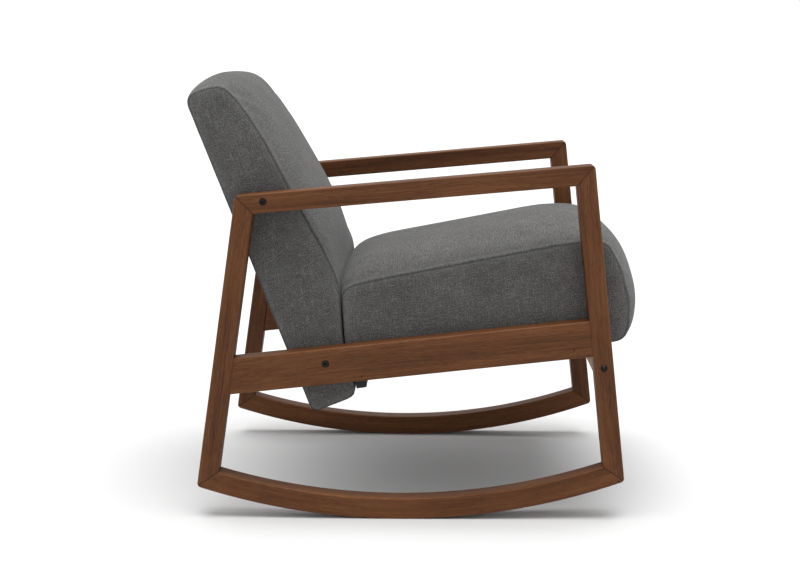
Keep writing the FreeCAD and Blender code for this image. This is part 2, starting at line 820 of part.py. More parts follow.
leg = size("corner_block")
corner_blocks = []
inner_start = box_start + board
inner_end = box_end - board
inner_side = lined_half - board
for x, inward_x in ((inner_start, 1), (inner_end, -1)):
    for y, inward_y in ((-inner_side, 1), (inner_side, -1)):
        points = [Vector(x, y, 0), Vector(x + inward_x * leg, y, 0),
                  Vector(x, y + inward_y * leg, 0), Vector(x, y, 0)]
        face = Part.Face(Part.makePolygon(points))
        solid = face.extrude(Vector(0, 0, size("corner_block_height")))
        solid.translate(Vector(0, 0, box_base + size("corner_block_lift")))
        corner_blocks.append(solid)


def shaped(label, solids, placement):
    """A node whose solids are made directly, in the frame of placement."""
    feature = doc.addObject("Part::Feature", label)
    feature.Shape = Part.makeCompound(solids)
    feature.Placement = placement
    feature.Label = label
    return keep(feature)


shaped("seat_corner_blocks", corner_blocks, SEAT)


def zigzag(start, length, across_at):
    """Wire of a zigzag spring: straight rungs joined by half turns, from start along X."""
    half_pitch = size("spring_pitch") / 2
    rungs = int(length / half_pitch)
    begin = start + (length - rungs * half_pitch) / 2
    reach = size("spring_width") / 2 - half_pitch / 2
    edges = []
    for i in range(rungs + 1):
        x = begin + i * half_pitch
        sign = 1 if i % 2 else -1
        a = Vector(x, across_at - sign * reach, 0)
        b = Vector(x, across_at + sign * reach, 0)
        edges.append(Part.LineSegment(a, b).toShape())
        if i < rungs:
            c = Vector(x + half_pitch, across_at + sign * reach, 0)
            top = Vector(x + half_pitch / 2, across_at + sign * (reach + half_pitch / 2), 0)
            edges.append(Part.Arc(b, top, c).toShape())
    path = Part.Wire(edges)
    first = path.Vertexes[0].Point
    circle = Part.Circle(first, Vector(0, 1, 0), wire)
    profile = Part.Wire([circle.toShape()])
    return path.makePipeShell([profile], True, False)


seat_springs = []
seat_clips = []
for y in spread(size("seat_spring_count"), size("seat_spring_spacing")):
    spring = zigzag(box_start + size("spring_end_inset"),
                    size("seat_box_length") - 2 * size("spring_end_inset"), y)
    spring.translate(Vector(0, 0, spring_level))
    seat_springs.append(spring)
    for x in (box_start, box_end - board):
        clip = Part.makeBox(board, size("clip_length"), size("clip_thickness"),
                            Vector(x, y - size("clip_length") / 2, box_top))
        seat_clips.append(clip)
shaped("seat_springs", seat_springs, SEAT)
shaped("seat_spring_clips", seat_clips, SEAT)
lining = block("dust_cover_plain", "Sizes.seat_box_length", lined_width,
               "Sizes.lining_thickness", Vector(box_start, -lined_half, 0), SEAT)
keep(cut("dust_cover", lining, batten_screws("lining_bore", "Sizes.batten_screw_radius",
                                             SCREW_LENGTH)))

# ---------------------------------------------------------------- back unit

BACK_POINTS = [
    (0.0, 0.0),
    (size("back_foot_thickness"), 0.0),
    (size("back_knee_thickness"), size("back_knee_height")),
    (size("back_waist_thickness"), size("back_waist_height")),
    (size("back_belly_thickness"), size("back_belly_height")),
    (size("back_top_thickness"), size("back_length")),
    (size("back_heel"), size("back_length")),
    (0.0, size("back_length") - size("back_heel")),
]
BACK_ROUNDS = (None, None, None, None, "back_round", "back_round", None, None)
BACK_INNER_ROUNDS = (None, None, None, None, "lined_back_round", "lined_back_round", None, None)
BACK_SHARP = (0, 1, 2, 7)
STILE_POINTS = [
    (size("stile_inset"), size("stile_foot")),
    (size("stile_inset") + size("stile_depth"), size("stile_foot")),
    (size("stile_inset") + size("stile_depth"), size("stile_shoulder")),
    (size("stile_inset") + size("stile_top_depth"), size("stile_foot") + size("stile_length")),
    (size("stile_inset"), size("stile_foot") + size("stile_length")),
]
clearance = size("foam_clearance")
ENVELOPE_POINTS = inset(STILE_POINTS, -clearance)
OUTSIDE = -30.0    # how far the clearing tools start below and behind the back
ENVELOPE_POINTS[0] = (OUTSIDE, OUTSIDE)
ENVELOPE_POINTS[1] = (ENVELOPE_POINTS[1][0], OUTSIDE)
ENVELOPE_POINTS[4] = (OUTSIDE, ENVELOPE_POINTS[4][1])


def back_inside(name):
    """The space inside the back's cover."""
    edges = rounded(inset(BACK_POINTS, cover), BACK_INNER_ROUNDS, BACK_SHARP)
    return prism(name, "back_inside", edges, lined_width, "0", BACK, "Sizes.lined_edge_round")


back_skin = prism("back_skin", "back_skin", rounded(BACK_POINTS, BACK_ROUNDS, BACK_SHARP),
                  cushion_width, "0", BACK, "Sizes.cushion_edge_round")
stile_span = 2 * (lined_half - size("stile_thickness"))
derived("stile_span", stile_span)
derived("back_mouth", size("stile_depth"))
doc.recompute()
mouth = block("back_opening", "Sizes.back_mouth", "Sizes.stile_span", "20",
              Vector(size("stile_inset"), -stile_span / 2, -10), BACK)
tools = [back_inside("back_cavity"), mouth]
for word, side in SIDES:
    for tag, point in (("arm", arm_bolt), ("rail", rail_bolt)):
        tools.append(across("cover_bore_%s_%s" % (tag, word), "Sizes.cover_bore",
                            lined_half - REACH, cushion_half + REACH, point, side))
keep(cut("back_cover", back_skin, tools))

spring_plane = size("stile_inset") + size("back_rail_thickness") + size("clip_thickness") + wire
hollow = derived("back_hollow", spring_plane + wire + clearance)
doc.recompute()
stuffing = back_inside("back_stuffing")
envelope = "Sizes.stile_thickness + Sizes.foam_clearance"
stuffing_tools = []
for word, side in SIDES:
    stuffing_tools.append(prism("stile_envelope_" + word, "stile_envelope",
                                polygon(ENVELOPE_POINTS), envelope,
                                "%d * (Sizes.lined_half - Sizes.stile_thickness / 2)" % side,
                                BACK))
    for tag, point in (("arm", arm_bolt), ("rail", rail_bolt)):
        stuffing_tools.append(across("foam_bore_%s_%s" % (tag, word), "Sizes.foam_bore",
                                     lined_half - size("insert_length") - clearance,
                                     lined_half + REACH, point, side))
middle_clear = block("back_hollow_block", "Sizes.back_hollow + 30",
                     "Sizes.stile_span + 2 * Sizes.foam_clearance",
                     "Sizes.stile_foot + Sizes.stile_length + Sizes.foam_clearance + 30",
                     Vector(OUTSIDE, -stile_span / 2 - clearance, OUTSIDE), BACK)
stuffing_tools.append(middle_clear)
foam_tool = joined("back_foam_tool", stuffing_tools)
keep(cut("back_foam", stuffing, [foam_tool]))

for word, side in SIDES:
    stile = prism("back_stile_" + word, "stile", polygon(STILE_POINTS), "Sizes.stile_thickness",
                  "%d * Sizes.stile_middle" % side, BACK)
    tools = []
    for tag, point in (("arm", arm_bolt), ("rail", rail_bolt)):
        tools.append(across("stile_bore_%s_%s" % (tag, word), "Sizes.insert_radius",
                            lined_half - size("stile_thickness") - REACH,
                            lined_half + REACH, point, side))
    keep(cut("back_stile_" + word, stile, tools))

rail_high = size("back_rail_height")
stile_top = size("stile_foot") + size("stile_length")
for label, low in (("back_bottom_rail", size("stile_foot")),
                   ("back_middle_rail", size("back_middle_rail")),
                   ("back_top_rail", stile_top - rail_high)):
    cross_piece = block(label, "Sizes.back_rail_thickness", "Sizes.stile_span",
                        "Sizes.back_rail_height",
                        Vector(size("stile_inset"), -stile_span / 2, low), BACK)
    keep(cross_piece)

backing = block("back_lining_board", "Sizes.backing_thickness", lined_width,
                "Sizes.stile_length",
                Vector(size("stile_inset") - size("backing_thickness"), -lined_half,
                       size("stile_foot")), BACK)
keep(backing)

back_springs = []
back_clips = []
rail_front = size("stile_inset") + size("back_rail_thickness")
upward = Placement(Vector(spring_plane, 0, 0), Rotation(Vector(0, 1, 0), -90))
for y in spread(size("back_spring_count"), size("back_spring_spacing")):
    spring = zigzag(size("stile_foot") + rail_high / 2, size("stile_length") - rail_high, y)
    spring.Placement = upward
    back_springs.append(spring)
    for centre in (size("stile_foot") + rail_high / 2, stile_top - rail_high / 2):
        clip = Part.makeBox(size("clip_thickness"), size("clip_length"), size("clip_height"),
                            Vector(rail_front, y - size("clip_length") / 2,
                                   centre - size("clip_height") / 2))
        back_clips.append(clip)
shaped("back_springs", back_springs, BACK)
shaped("back_spring_clips", back_clips, BACK)

# ---------------------------------------------------------------- fasteners

seat_of_head = half_width - size("counterbore_depth") + size("washer_thickness")
seat_of_rail_head = rail_face - size("counterbore_depth") + size("washer_thickness")
inner_end_of_bolt = lined_half - size("bolt_engagement")


def hexagon(name, y, point, side):
    """Hexagonal socket cut into a bolt head from y outwards."""
    prism_tool = doc.addObject("Part::Prism", name)
    prism_tool.Polygon = 6
    prism_tool.setExpression("Circumradius", "Sizes.socket_radius")
    prism_tool.setExpression("Height", "2 * Sizes.head_height")
    prism_tool.Placement = Placement(Vector(point[0], side * y, point[1]),
                                     Rotation(Vector(0, 0, 1), Vector(0, side, 0)))
    return prism_tool


def cap_bolt(name, point, head_y, tip_y, side):
    shank = across(name + "_shank", "Sizes.shank_radius", tip_y, head_y + 1, point, side)
    head = across(name + "_head", "Sizes.head_radius", head_y,
                  head_y + size("head_height"), point, side)
    socket = hexagon(name + "_socket", head_y + size("head_height") - size("socket_depth"),
                     point, side)
    return cut(name, joined(name + "_solid", [shank, head]), [socket])


def button_bolt(name, point, head_y, tip_y, side):
    """Bolt with a low domed head, a slice of a sphere."""
    rise = size("button_height")
    sphere_radius = (size("head_radius") ** 2 + rise ** 2) / (2 * rise)
    dome = doc.addObject("Part::Sphere", name + "_ball")
    dome.Radius = sphere_radius
    dome.Placement = Placement(Vector(point[0], side * (head_y + rise - sphere_radius),
                                      point[1]), Rotation())
    slab = across(name + "_slab", "Sizes.head_radius + 1", head_y, head_y + rise + 1, point,
                  side)
    head = doc.addObject("Part::Common", name + "_dome")
    head.Base = dome
    head.Tool = slab
    shank = across(name + "_shank", "Sizes.shank_radius", tip_y, head_y + 1, point, side)
    socket = hexagon(name + "_socket", head_y + rise - size("button_socket_depth"), point, side)
    return cut(name, joined(name + "_solid", [shank, head]), [socket])


def ring(name, outer_cell, inner_cell, near, far, point, side):
    disc = across(name + "_disc", outer_cell, near, far, point, side)
    hole = across(name + "_hole", inner_cell, near - REACH, far + REACH, point, side)
    return cut(name, disc, [hole])


arm_bolts = []
rail_bolts = []
leg_bolts = []
washers = []
inserts = []
screw_pieces = []
for word, side in SIDES:
    arm_bolts.append(cap_bolt("arm_bolt_" + word, arm_bolt, seat_of_head,
                              inner_end_of_bolt, side))
    rail_bolts.append(cap_bolt("rail_bolt_" + word, rail_bolt, seat_of_rail_head,
                               inner_end_of_bolt, side))
    leg_bolts.append(button_bolt("leg_bolt_" + word, leg_bolt, half_width,
                                 frame_inner - size("bolt_engagement"), side))
    for tag, point, face in (("arm", arm_bolt, seat_of_head), ("rail", rail_bolt,
                                                              seat_of_rail_head)):
        washers.append(ring("washer_%s_%s" % (tag, word), "Sizes.washer_radius",
                            "Sizes.shank_bore", face - size("washer_thickness"), face,
                            point, side))
        inserts.append(ring("insert_%s_%s" % (tag, word), "Sizes.insert_radius",
                            "Sizes.shank_radius", lined_half - size("insert_length"),
                            lined_half, point, side))
    inserts.append(ring("insert_leg_" + word, "Sizes.insert_radius", "Sizes.shank_radius",
                        insert_end, frame_inner, leg_bolt, side))
    inside = lined_half - board
    for i, along in enumerate((size("screw_rear"), size("screw_front"))):
        base = SEAT.multVec(Vector(along, side * inside, size("screw_height")))
        point = (base.x, base.z)
        name = "seat_screw_%s_%d" % (word, i)
        shank = across(name + "_shank", "Sizes.screw_radius", inside,
                       inside + size("screw_length"), point, side)
        head = across(name + "_head", "Sizes.screw_head_radius",
                      inside - size("screw_head_height"), inside, point, side)
        screw_pieces.append(joined(name, [shank, head]))
batten_pieces = [
    joined("batten_screw_%d" % i, list(pair))
    for i, pair in enumerate(zip(
        batten_screws("batten_shank", "Sizes.batten_screw_radius", SCREW_LENGTH),
        batten_screws("batten_head", "Sizes.batten_screw_head", "Sizes.batten_head_height")))]
for label, members in (("arm_bolts", arm_bolts), ("rail_bolts", rail_bolts),
                       ("leg_bolts", leg_bolts), ("washers", washers),
                       ("threaded_inserts", inserts), ("seat_screws", screw_pieces),
                       ("batten_screws", batten_pieces)):
    keep(compound(label, members))

# ---------------------------------------------------------------- check and write

doc.recompute()
for item in doc.Objects:
    if "Invalid" in item.State or "Error" in item.State:
        raise RuntimeError("%s failed to compute" % item.Label)
for piece in nodes:
    shape = piece.Shape
    if shape.isNull() or not shape.isValid() or shape.Volume <= 0:
        raise RuntimeError("%s has no sound shape" % piece.Label)
    if any(solid.Volume < 1 for solid in shape.Solids):
        raise RuntimeError("%s has a stray solid" % piece.Label)
for piece in nodes:
    piece.Shape.exportStep("parts/%s.step" % piece.Label)
    print("%-26s %2d solids %10.1f mm3" % (piece.Label, len(piece.Shape.Solids),
                                           piece.Shape.Volume))
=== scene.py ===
import math

import bpy
import numpy as np
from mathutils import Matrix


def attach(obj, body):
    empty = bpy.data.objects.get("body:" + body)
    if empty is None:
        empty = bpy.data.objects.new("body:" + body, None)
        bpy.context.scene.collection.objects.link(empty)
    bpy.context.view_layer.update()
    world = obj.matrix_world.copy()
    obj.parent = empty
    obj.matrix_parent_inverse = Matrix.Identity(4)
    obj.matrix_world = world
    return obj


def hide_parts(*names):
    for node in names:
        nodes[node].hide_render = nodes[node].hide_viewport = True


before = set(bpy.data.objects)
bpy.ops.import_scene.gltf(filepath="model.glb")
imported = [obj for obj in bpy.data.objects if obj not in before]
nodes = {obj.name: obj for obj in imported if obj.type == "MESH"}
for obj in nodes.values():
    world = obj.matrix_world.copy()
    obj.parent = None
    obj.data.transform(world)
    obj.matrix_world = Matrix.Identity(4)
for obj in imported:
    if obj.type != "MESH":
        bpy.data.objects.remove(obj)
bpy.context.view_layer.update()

# Upholstered rocking chair: a walnut-stained timber frame on two curved rockers, with a
# seat and a back unit covered in grey slub linen.  Metres, +X front, +Y the sitter's left.

HALF_CUSHION = 0.2838        # middle plane to a cushion's side panel

# ---------------------------------------------------------------- node helpers


class Shader:
    """One material's node tree: every method adds a node and returns its output."""

    def __init__(self, name):
        self.material = bpy.data.materials.new(name)
        self.material.use_nodes = True
        self.tree = self.material.node_tree
        self.surface = self.tree.nodes["Principled BSDF"]
        self.coordinates = self.tree.nodes.new("ShaderNodeTexCoord")

    def plug(self, socket, value):
        if value is None:
            return
        if isinstance(value, bpy.types.NodeSocket):
            self.tree.links.new(value, socket)
        else:
            socket.default_value = value

    def node(self, kind, **inputs):
        made = self.tree.nodes.new(kind)
        for key, value in inputs.items():
            self.plug(made.inputs[key.replace("_", " ")], value)
        return made

    def set(self, name, value):
        self.plug(self.surface.inputs[name], value)

    def space(self):
        return self.coordinates.outputs["Object"]

    def uv(self):
        return self.coordinates.outputs["UV"]

    def normal(self):
        return self.tree.nodes.new("ShaderNodeNewGeometry").outputs["Normal"]

    def attribute(self, name):
        made = self.tree.nodes.new("ShaderNodeAttribute")
        made.attribute_name = name
        return made.outputs["Fac"]

    def mapped(self, vector, scale=(1, 1, 1), turn=(0, 0, 0), move=(0, 0, 0)):
        return self.node("ShaderNodeMapping", Vector=vector, Scale=scale, Rotation=turn,
                         Location=move).outputs["Vector"]

    def math(self, kind, a, b=None, clamp=False):
        made = self.tree.nodes.new("ShaderNodeMath")
        made.operation = kind
        made.use_clamp = clamp
        self.plug(made.inputs[0], a)
        self.plug(made.inputs[1], b)
        return made.outputs[0]

    def vector(self, kind, a, b, c=None):
        """A vector operation's result: a number for a dot product or a distance."""
        made = self.tree.nodes.new("ShaderNodeVectorMath")
        made.operation = kind
        for socket, value in zip(made.inputs, (a, b, c)):
            self.plug(socket, value)
        return made.outputs["Value" if kind in ("DOT_PRODUCT", "DISTANCE") else "Vector"]

    def part(self, vector, axis):
        return self.node("ShaderNodeSeparateXYZ", Vector=vector).outputs[axis]

    def noise(self, vector, scale, detail=4.0, roughness=0.5, distortion=0.0):
        return self.node("ShaderNodeTexNoise", Vector=vector, Scale=scale, Detail=detail,
                         Roughness=roughness, Distortion=distortion).outputs["Fac"]

    def ramp(self, value, stops):
        """stops: (position, grey or (r, g, b)) from low to high."""
        made = self.node("ShaderNodeValToRGB", Fac=value)
        elements = made.color_ramp.elements
        while len(elements) < len(stops):
            elements.new(0.5)
        for element, (position, colour) in zip(elements, stops):
            element.position = position
            colour = (colour,) * 3 if isinstance(colour, (int, float)) else colour
            element.color = (*colour, 1.0)
        return made.outputs["Color"]

    def mix(self, share, a, b, kind="MIX"):
        made = self.tree.nodes.new("ShaderNodeMix")
        made.data_type = "RGBA"
        made.blend_type = kind
        made.clamp_factor = True
        self.plug(made.inputs["Factor"], share)
        colours = [s for s in made.inputs if s.type == "RGBA"]
        for socket, value in zip(colours, (a, b)):
            self.plug(socket, value if isinstance(value, bpy.types.NodeSocket) else (*value, 1.0))
        return next(s for s in made.outputs if s.type == "RGBA")

    def bump(self, height, strength, distance, under=None):
        made = self.node("ShaderNodeBump", Height=height, Strength=strength,
                         Distance=distance, Normal=under)
        return made.outputs["Normal"]


# ---------------------------------------------------------------- wood


JOINT_LINE = 0.0013          # half width of the dark line at a glued joint
KNOT_RADIUS = 0.0018


def wood(name, grain, light, dark, pore, gloss=0.5, coat=0.03, offset=0.0, joints=(),
         knots=(), bare=None):
    """Open-pored timber.  grain(shader) gives coordinates whose X runs along the fibres, in
    metres: broad slow bands of colour, narrow streaks 70 times as long as wide, and short
    dark pores are laid over each other, and rounded edges are painted paler: a painted
    highlight where they catch the light, together with a little wear.
    joints: planes (point, normal) of glued joints, which show as a fine dark line.
    knots: centres of small dark pin knots.
    bare: the tones of unstained timber, on faces that look rearwards."""
    s = Shader(name)
    along = grain(s)
    along = s.mapped(along, move=(offset, offset * 0.37, offset * 0.71))
    wander = s.noise(s.mapped(along, scale=(2.2, 9, 9)), 1.0, 3, 0.5)
    drift = s.node("ShaderNodeCombineXYZ", X=0.0, Y=wander, Z=wander).outputs[0]
    bent = s.vector("MULTIPLY_ADD", drift, (0.0, 0.03, 0.03), along)
    bands = s.noise(s.mapped(bent, scale=(1.6, 42, 42)), 1.0, 5, 0.55, 0.4)
    streaks = s.noise(s.mapped(bent, scale=(6, 420, 420)), 1.0, 4, 0.6)
    fine = s.noise(s.mapped(bent, scale=(14, 1500, 1500)), 1.0, 2, 0.5)
    pores = s.noise(s.mapped(bent, scale=(55, 1900, 1900)), 1.0, 1, 0.5)
    lines = s.math("ADD", s.math("MULTIPLY", streaks, 0.65), s.math("MULTIPLY", fine, 0.35))
    figure = s.math("ADD", s.math("MULTIPLY", bands, 0.42), s.math("MULTIPLY", lines, 0.58))
    middle = tuple((a + b) / 2 for a, b in zip(light, dark))
    colour = s.ramp(figure, [(0.38, dark), (0.5, middle), (0.62, light)])
    slots = s.ramp(pores, [(0.56, 0.0), (0.68, 1.0)])
    colour = s.mix(s.math("MULTIPLY", slots, 0.55), colour, pore)
    cloud = s.noise(s.mapped(along, scale=(5, 14, 14)), 1.0, 3, 0.5)
    colour = s.mix(s.math("MULTIPLY", s.ramp(cloud, [(0.45, 0.0), (0.75, 1.0)]), 0.25),
                   colour, tuple(c * 1.35 for c in light))
    # Painted highlight: rounded edges, where the normal turns between a side face and a top or
    # front face, are lightened as if catching the light, mixed with a little wear.
    edge = s.math("ABSOLUTE", s.part(s.normal(), "Y"))
    edge = s.math("MULTIPLY", s.math("MULTIPLY", edge, 2.6), s.math("SUBTRACT", 1.0, edge))
    worn_and_highlit = s.math("MULTIPLY", edge, s.ramp(cloud, [(0.3, 0.25), (0.7, 1.0)]))
    colour = s.mix(s.math("MULTIPLY", worn_and_highlit, 0.45), colour, tuple(c * 1.6 for c in light))
    for point, normal in joints:
        reach = sum(p * n for p, n in zip(point, normal))
        away = s.vector("DOT_PRODUCT", s.space(), normal)
        gap = s.math("ABSOLUTE", s.math("SUBTRACT", away, reach))
        line = s.math("SUBTRACT", 1.0, s.math("DIVIDE", gap, JOINT_LINE), clamp=True)
        colour = s.mix(s.math("MULTIPLY", line, 0.95), colour, tuple(c * 0.4 for c in pore))
    for knot in knots:
        away = s.vector("DISTANCE", s.space(), knot)
        spot = s.math("SUBTRACT", 1.6, s.math("DIVIDE", away, KNOT_RADIUS), clamp=True)
        colour = s.mix(s.math("MULTIPLY", spot, 0.75), colour, pore)
    if bare:
        rearward = s.math("MULTIPLY", s.part(s.normal(), "X"), -1.0)
        plain = s.ramp(figure, [(0.38, bare["dark"]), (0.62, bare["light"])])
        colour = s.mix(s.ramp(rearward, [(0.5, 0.0), (0.6, 1.0)]), colour, plain)
    s.set("Base Color", colour)
    s.set("Roughness", s.math("ADD", s.math("MULTIPLY", slots, 0.2),
                              s.math("ADD", gloss - 0.06, s.math("MULTIPLY", streaks, 0.12))))
    s.set("Specular IOR Level", 0.16)
    s.set("Coat Weight", coat)
    s.set("Coat Roughness", 0.35)
    relief = s.math("SUBTRACT", s.math("MULTIPLY", streaks, 0.5), slots)
    s.set("Normal", s.bump(relief, 0.35, 0.0002))
    return s.material


def straight_grain(angle):
    """Grain along +X turned upwards by angle, in the side plane."""
    def grain(s):
        return s.mapped(s.space(), turn=(0, angle, 0))
    return grain


def bent_grain(centre_z):
    """Grain along an arc about (0, centre_z): X is the distance run along the arc."""
    def grain(s):
        x, y, z = s.node("ShaderNodeSeparateXYZ", Vector=s.space()).outputs
        drop = s.math("SUBTRACT", centre_z, z)
        radius = s.math("SQRT", s.math("ADD", s.math("MULTIPLY", x, x),
                                       s.math("MULTIPLY", drop, drop)))
        run = s.math("MULTIPLY", s.math("ARCTAN2", x, drop), centre_z)
        return s.node("ShaderNodeCombineXYZ", X=run, Y=y, Z=radius).outputs[0]
    return grain


def cross_grain(s):
    """Grain across the chair."""
    return s.mapped(s.space(), turn=(0, 0, math.pi / 2))


WALNUT = dict(light=(0.138, 0.052, 0.017), dark=(0.048, 0.0145, 0.004), pore=(0.016, 0.005, 0.002))
PINE = dict(light=(0.56, 0.38, 0.21), dark=(0.40, 0.25, 0.12), pore=(0.24, 0.14, 0.07))


def dress(node, material):
    """Gives every slot of a node's object this material."""
    mesh = nodes[node].data
    if not mesh.materials:
        mesh.materials.append(material)
    for i in range(len(mesh.materials)):
        mesh.materials[i] = material


# ---------------------------------------------------------------- fabric


def linen(name):
    """Grey slub linen on a piece's own UV map in metres: fine threads both ways, slubs that
    run 20 to 40 mm along single threads, a heathered speckle and a soft mottling, with a
    coarser fleck where the cover doesn't face sideways.  The attribute 'seam' is 1 on a
    seam and dies away within 6 mm: a painted shade line in the seam's crease, with a slight
    painted highlight on the rolled edge beside it."""
    s = Shader(name)
    flat = s.uv()
    warp = s.noise(s.mapped(flat, scale=(1100, 60, 1)), 1.0, 2, 0.55)
    weft = s.noise(s.mapped(flat, scale=(60, 1100, 1), move=(3.1, 7.7, 0)), 1.0, 2, 0.55)
    slub_up = s.noise(s.mapped(flat, scale=(620, 38, 1), move=(1.3, 0.4, 0)), 1.0, 2, 0.5)
    slub_across = s.noise(s.mapped(flat, scale=(38, 620, 1), move=(5.2, 2.9, 0)), 1.0, 2, 0.5)
    mottle = s.noise(s.mapped(flat, scale=(11, 11, 1)), 1.0, 4, 0.6)
    heather = s.noise(s.mapped(flat, scale=(430, 430, 1)), 1.0, 3, 0.75)
    thick = [(0.57, 0.0), (0.74, 1.0)]
    slubs = s.math("MAXIMUM", s.ramp(slub_up, thick), s.ramp(slub_across, thick))
    threads = s.math("MULTIPLY", s.math("ADD", warp, weft), 0.5)
    speckle = s.math("ADD", s.math("MULTIPLY", heather, 0.56), s.math("MULTIPLY", mottle, 0.10))
    tone = s.math("ADD", s.math("MULTIPLY", threads, 0.34), speckle)
    spread = s.math("SUBTRACT", 1.0, s.math("ABSOLUTE", s.part(s.normal(), "Y")))
    flecks = s.noise(s.mapped(flat, scale=(70, 420, 1), move=(0.7, 2.2, 0)), 1.0, 3, 0.6)
    flecks = s.math("MULTIPLY", s.math("SUBTRACT", flecks, 0.5), 0.30)
    tone = s.math("ADD", tone, s.math("MULTIPLY", flecks, spread))
    colour = s.ramp(tone, [(0.36, (0.017, 0.017, 0.0165)), (0.5, (0.064, 0.063, 0.0615)),
                           (0.64, (0.168, 0.166, 0.161))])
    colour = s.mix(s.math("MULTIPLY", slubs, s.math("ADD", 0.28, s.math("MULTIPLY", spread, 0.1))),
                   colour, (0.250, 0.247, 0.240))
    # Painted shade and painted highlight: a near-black line where the seam's crease lies in shade,
    # and a paler band on the rolled edge beside it.
    seam = s.attribute("seam")
    wide = s.math("POWER", seam, 0.4)
    lip_highlight = s.math("MULTIPLY", wide, s.math("SUBTRACT", 1.0, wide))
    colour = s.mix(s.math("MULTIPLY", lip_highlight, 0.5), colour, (0.190, 0.188, 0.183))
    colour = s.mix(s.math("MULTIPLY", s.math("POWER", seam, 2.0), 0.85), colour,
                   (0.010, 0.010, 0.010))
    s.set("Base Color", colour)
    s.set("Roughness", 0.92)
    s.set("Specular IOR Level", 0.15)
    s.set("Sheen Weight", 0.12)
    s.set("Sheen Roughness", 0.5)
    s.set("Sheen Tint", (0.75, 0.75, 0.75, 1.0))
    weave = s.math("ADD", threads, s.math("MULTIPLY", slubs, 0.35))
    s.set("Normal", s.bump(weave, 0.45, 0.0005))
    return s.material


# ---------------------------------------------------------------- cushions


def rounded_outline(corners, step):
    """A closed outline in a plane from corners (x, z, radius, fullness), each replaced by an
    arc of that radius tangent to its two sides; then resampled evenly, about a step apart.
    Returns the points and the fullness carried along them."""
    corners = np.array(corners, float)
    points, radii = corners[:, :2], corners[:, 2]
    before = points - np.roll(points, 1, 0)
    after = np.roll(points, -1, 0) - points
    before /= np.linalg.norm(before, axis=1)[:, None]
    after /= np.linalg.norm(after, axis=1)[:, None]
    turn = np.arctan2(before[:, 0] * after[:, 1] - before[:, 1] * after[:, 0],
                      (before * after).sum(1))
    reach = radii * np.tan(np.abs(turn) / 2)
    start = points - before * reach[:, None]
    side = np.sign(turn)[:, None] * np.stack([-before[:, 1], before[:, 0]], 1)
    centre = start + side * radii[:, None]
    share = np.linspace(0, 1, 25)[None, :, None]
    angle = turn[:, None, None] * share
    spoke = (start - centre)[:, None, :]
    arcs = centre[:, None, :] + np.concatenate(
        [spoke[..., :1] * np.cos(angle) - spoke[..., 1:] * np.sin(angle),
         spoke[..., :1] * np.sin(angle) + spoke[..., 1:] * np.cos(angle)], 2)
    full = np.repeat(corners[:, 3:], share.shape[1], 0)
    loop = np.hstack([arcs.reshape(-1, 2), full])
    loop = np.vstack([loop, loop[:1]])
    run = np.r_[0, np.cumsum(np.linalg.norm(np.diff(loop[:, :2], axis=0), axis=1))]
    count = int(round(run[-1] / step))
    at = np.arange(count) * run[-1] / count
    even = np.stack([np.interp(at, run, loop[:, i]) for i in range(3)], 1)
    return even[:, :2], even[:, 2]


def smoothed(values, times):
    """A closed row of values, each time averaged with its two neighbours."""
    for _ in range(times):
        values = 0.5 * values + 0.25 * (np.roll(values, 1, 0) + np.roll(values, -1, 0))
    return values


def unit_rows(vectors):
    return vectors / np.linalg.norm(vectors, axis=1)[:, None]


def grid_faces(rows, columns, first=0):
    """Quads of a grid of points stored row by row, closed from its last column to its first."""
    i, j = np.meshgrid(np.arange(rows - 1), np.arange(columns), indexing="ij")
    k = (j + 1) % columns
    return first + np.stack([i * columns + j, i * columns + k,
                             (i + 1) * columns + k, (i + 1) * columns + j], 2).reshape(-1, 4)


def waver(run, side):
    """A slow uneven wave along a seam, from -1 to 1: three sines of unrelated lengths."""
    return (np.sin(run * 97 + side) + np.sin(run * 163 + 2.1 * side + 1.3)
            + 0.7 * np.sin(run * 251 + 0.4 * side)) / 2.7


EDGE = np.array([0.0, 0.0012, 0.003, 0.0055, 0.009, 0.014, 0.021])   # rows beside a seam
# SEAM_FADE sets how fast the painted shade line in a seam's crease and its painted highlight fade
# away from the seam.
SEAM_FADE = 0.0022           # distance over which the seam's mark falls to a third
SEAM_DRAW = 0.0020           # how far a full seam is drawn in from the side panel
FULL_SEAM = 0.012            # fullness from which a seam is fully drawn in
PANEL_SHARES = np.array([0.03, 0.08, 0.16, 0.26, 0.38, 0.52, 0.68, 0.84])


